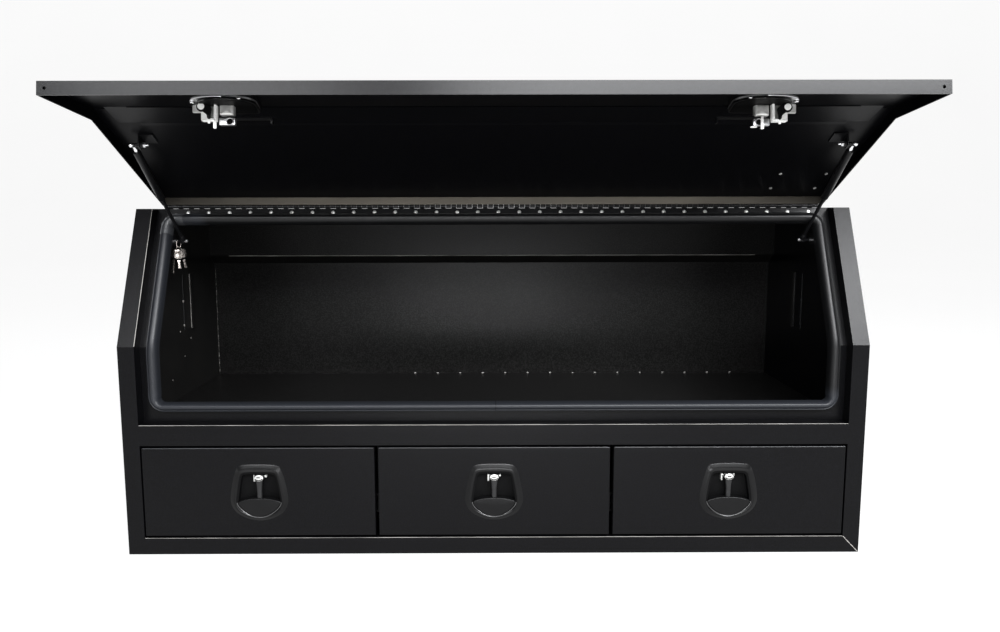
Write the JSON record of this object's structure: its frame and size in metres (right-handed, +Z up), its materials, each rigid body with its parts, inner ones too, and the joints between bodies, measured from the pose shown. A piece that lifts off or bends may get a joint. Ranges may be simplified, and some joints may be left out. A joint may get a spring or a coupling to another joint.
{
  "type": "truck bed toolbox",
  "caption": "Black sheet-steel truck toolbox with a folded gull-wing lid on gas struts, open above a row of drawers with folding lock handles.",
  "frame": {"origin": "centre of the underside of the base panel", "axes": "+Z up, the opening and drawer fronts face -Y, +X to the right as seen from the front; rest pose has the lid open"},
  "size_m": [1.7, 0.9191, 1.0183],
  "materials": {
    "black_powder_coat": "fine-texture satin powder coat",
    "seal_rubber": "smooth extruded",
    "zinc_steel": "zinc plated",
    "black_moulding": "moulded, satin",
    "black_steel": "blackened",
    "strut_black": "gloss",
    "strut_rod_steel": "polished",
    "key_metal": "nickel plated"
  },
  "bodies": {
    "cabinet": {"base_panel": "black_powder_coat", "rear_panel": "black_powder_coat", "top_panel": "black_powder_coat", "hinge_header": "black_powder_coat", "side_panel_left": "black_powder_coat", "side_panel_right": "black_powder_coat", "front_post_left": "black_powder_coat", "front_post_right": "black_powder_coat", "slope_post_left": "black_powder_coat", "slope_post_right": "black_powder_coat", "bottom_rail": "black_powder_coat", "mid_rail": "black_powder_coat", "upper_floor": "black_powder_coat", "drawer_partitions": "black_powder_coat", "bay_liners": "black_powder_coat", "rear_channel": "black_powder_coat", "opening_lip": "black_powder_coat", "opening_seal": "seal_rubber", "hinge_body_leaf": "zinc_steel", "hinge_pin": "zinc_steel", "hinge_rivets": "zinc_steel", "strut_brackets": "zinc_steel", "side_strips": "black_powder_coat", "runner_outer_members": "zinc_steel"},
    "lid": {"lid_pan": "black_powder_coat", "lid_stiffener": "black_powder_coat", "hinge_lid_leaf": "zinc_steel", "lid_strut_brackets": "zinc_steel", "lid_rivets": "zinc_steel", "lid_lock_dish_left": "black_moulding", "lid_lock_dish_right": "black_moulding", "lid_lock_plate_left": "zinc_steel", "lid_lock_plate_right": "zinc_steel"},
    "keys": {"key_bunch": "key_metal"},
    "strut_rod_left": {"strut_rod_left": "strut_rod_steel"},
    "strut_tube_left": {"strut_tube_left": "strut_black"},
    "strut_rod_right": {"strut_rod_right": "strut_rod_steel"},
    "strut_tube_right": {"strut_tube_right": "strut_black"},
    "drawer_left": {"drawer_front_left": "black_powder_coat", "drawer_box_left": "black_powder_coat", "runner_inner_left": "zinc_steel", "drawer_lock_dish_left": "black_moulding"},
    "handle_left": {"drawer_handle_left": "black_moulding"},
    "cam_left": {"drawer_cam_left": "black_steel"},
    "drawer_middle": {"drawer_front_middle": "black_powder_coat", "drawer_box_middle": "black_powder_coat", "runner_inner_middle": "zinc_steel", "drawer_lock_dish_middle": "black_moulding"},
    "handle_middle": {"drawer_handle_middle": "black_moulding"},
    "cam_middle": {"drawer_cam_middle": "black_steel"},
    "drawer_right": {"drawer_front_right": "black_powder_coat", "drawer_box_right": "black_powder_coat", "runner_inner_right": "zinc_steel", "drawer_lock_dish_right": "black_moulding"},
    "handle_right": {"drawer_handle_right": "black_moulding"},
    "cam_right": {"drawer_cam_right": "black_steel"},
    "lid_handle_left": {"lid_handle_left": "black_moulding"},
    "lid_cam_left": {"lid_cam_left": "black_steel"},
    "lid_handle_right": {"lid_handle_right": "black_moulding"},
    "lid_cam_right": {"lid_cam_right": "black_steel"}
  },
  "joints": [
    {"name": "lid_hinge", "type": "hinge", "parent": "cabinet", "child": "lid", "pos_m": [0, -0.14557, 0.80497], "axis": [1, 0, 0], "range_deg": [0, 97], "stiffness_Nm_per_rad": 12, "springref_deg": -114.59},
    {"name": "strut_swing_left", "type": "hinge", "parent": "cabinet", "child": "strut_rod_left", "pos_m": [-0.7595, -0.13603, 0.722], "axis": [1, 0, 0], "range_deg": [0, 96.89]},
    {"name": "strut_stroke_left", "type": "slide", "parent": "strut_rod_left", "child": "strut_tube_left", "axis": [0, -0.7367, 0.6762], "range_m": [-0.1256, 0]},
    {"name": "strut_swing_right", "type": "hinge", "parent": "cabinet", "child": "strut_rod_right", "pos_m": [0.7595, -0.13603, 0.722], "axis": [1, 0, 0], "range_deg": [0, 96.89]},
    {"name": "strut_stroke_right", "type": "slide", "parent": "strut_rod_right", "child": "strut_tube_right", "axis": [0, -0.7367, 0.6762], "range_m": [-0.1256, 0]},
    {"name": "drawer_slide_left", "type": "slide", "parent": "cabinet", "child": "drawer_left", "axis": [0, -1, 0], "range_m": [0, 0.4]},
    {"name": "handle_lift_left", "type": "hinge", "parent": "drawer_left", "child": "handle_left", "pos_m": [-0.542, -0.2915, 0.1865], "axis": [-1, 0, 0], "range_deg": [0, 45], "stiffness_Nm_per_rad": 0.15, "springref_deg": -17.19},
    {"name": "cam_turn_left", "type": "hinge", "parent": "drawer_left", "child": "cam_left", "pos_m": [-0.542, -0.265, 0.1495], "axis": [0, -1, 0], "range_deg": [0, 90]},
    {"name": "drawer_slide_middle", "type": "slide", "parent": "cabinet", "child": "drawer_middle", "axis": [0, -1, 0], "range_m": [0, 0.4]},
    {"name": "handle_lift_middle", "type": "hinge", "parent": "drawer_middle", "child": "handle_middle", "pos_m": [0, -0.2915, 0.1865], "axis": [-1, 0, 0], "range_deg": [0, 45], "stiffness_Nm_per_rad": 0.15, "springref_deg": -17.19},
    {"name": "cam_turn_middle", "type": "hinge", "parent": "drawer_middle", "child": "cam_middle", "pos_m": [0, -0.265, 0.1495], "axis": [0, -1, 0], "range_deg": [0, 90]},
    {"name": "drawer_slide_right", "type": "slide", "parent": "cabinet", "child": "drawer_right", "axis": [0, -1, 0], "range_m": [0, 0.4]},
    {"name": "handle_lift_right", "type": "hinge", "parent": "drawer_right", "child": "handle_right", "pos_m": [0.542, -0.2915, 0.1865], "axis": [-1, 0, 0], "range_deg": [0, 45], "stiffness_Nm_per_rad": 0.15, "springref_deg": -17.19},
    {"name": "cam_turn_right", "type": "hinge", "parent": "drawer_right", "child": "cam_right", "pos_m": [0.542, -0.265, 0.1495], "axis": [0, -1, 0], "range_deg": [0, 90]},
    {"name": "lid_handle_lift_left", "type": "hinge", "parent": "lid", "child": "lid_handle_left", "pos_m": [-0.497, -0.47316, 0.99222], "axis": [-1, 0, 0], "range_deg": [0, 45], "stiffness_Nm_per_rad": 0.15, "springref_deg": -17.19},
    {"name": "lid_cam_turn_left", "type": "hinge", "parent": "lid", "child": "lid_cam_left", "pos_m": [-0.497, -0.51311, 0.97043], "axis": [0, -0.1219, -0.9925], "range_deg": [0, 90]},
    {"name": "lid_handle_lift_right", "type": "hinge", "parent": "lid", "child": "lid_handle_right", "pos_m": [0.497, -0.47316, 0.99222], "axis": [-1, 0, 0], "range_deg": [0, 45], "stiffness_Nm_per_rad": 0.15, "springref_deg": -17.19},
    {"name": "lid_cam_turn_right", "type": "hinge", "parent": "lid", "child": "lid_cam_right", "pos_m": [0.497, -0.51311, 0.97043], "axis": [0, 0.1219, 0.9925], "range_deg": [0, 90]},
    {"name": "key_swing", "type": "hinge", "parent": "cabinet", "child": "keys", "pos_m": [-0.7715, -0.13603, 0.722], "axis": [1, 0, 0], "range_deg": [-10, 20]}
  ],
  "couplings": [
    {"joint": "strut_swing_left", "follows": "lid_hinge", "ratio": 0.99579},
    {"joint": "strut_stroke_left", "follows": "lid_hinge", "m_per_rad": -0.073888},
    {"joint": "strut_swing_right", "follows": "lid_hinge", "ratio": 0.99579},
    {"joint": "strut_stroke_right", "follows": "lid_hinge", "m_per_rad": -0.073888},
    {"joint": "cam_turn_left", "follows": "handle_lift_left", "ratio": 2},
    {"joint": "cam_turn_middle", "follows": "handle_lift_middle", "ratio": 2},
    {"joint": "cam_turn_right", "follows": "handle_lift_right", "ratio": 2},
    {"joint": "lid_cam_turn_left", "follows": "lid_handle_lift_left", "ratio": 2},
    {"joint": "lid_cam_turn_right", "follows": "lid_handle_lift_right", "ratio": 2}
  ]
}
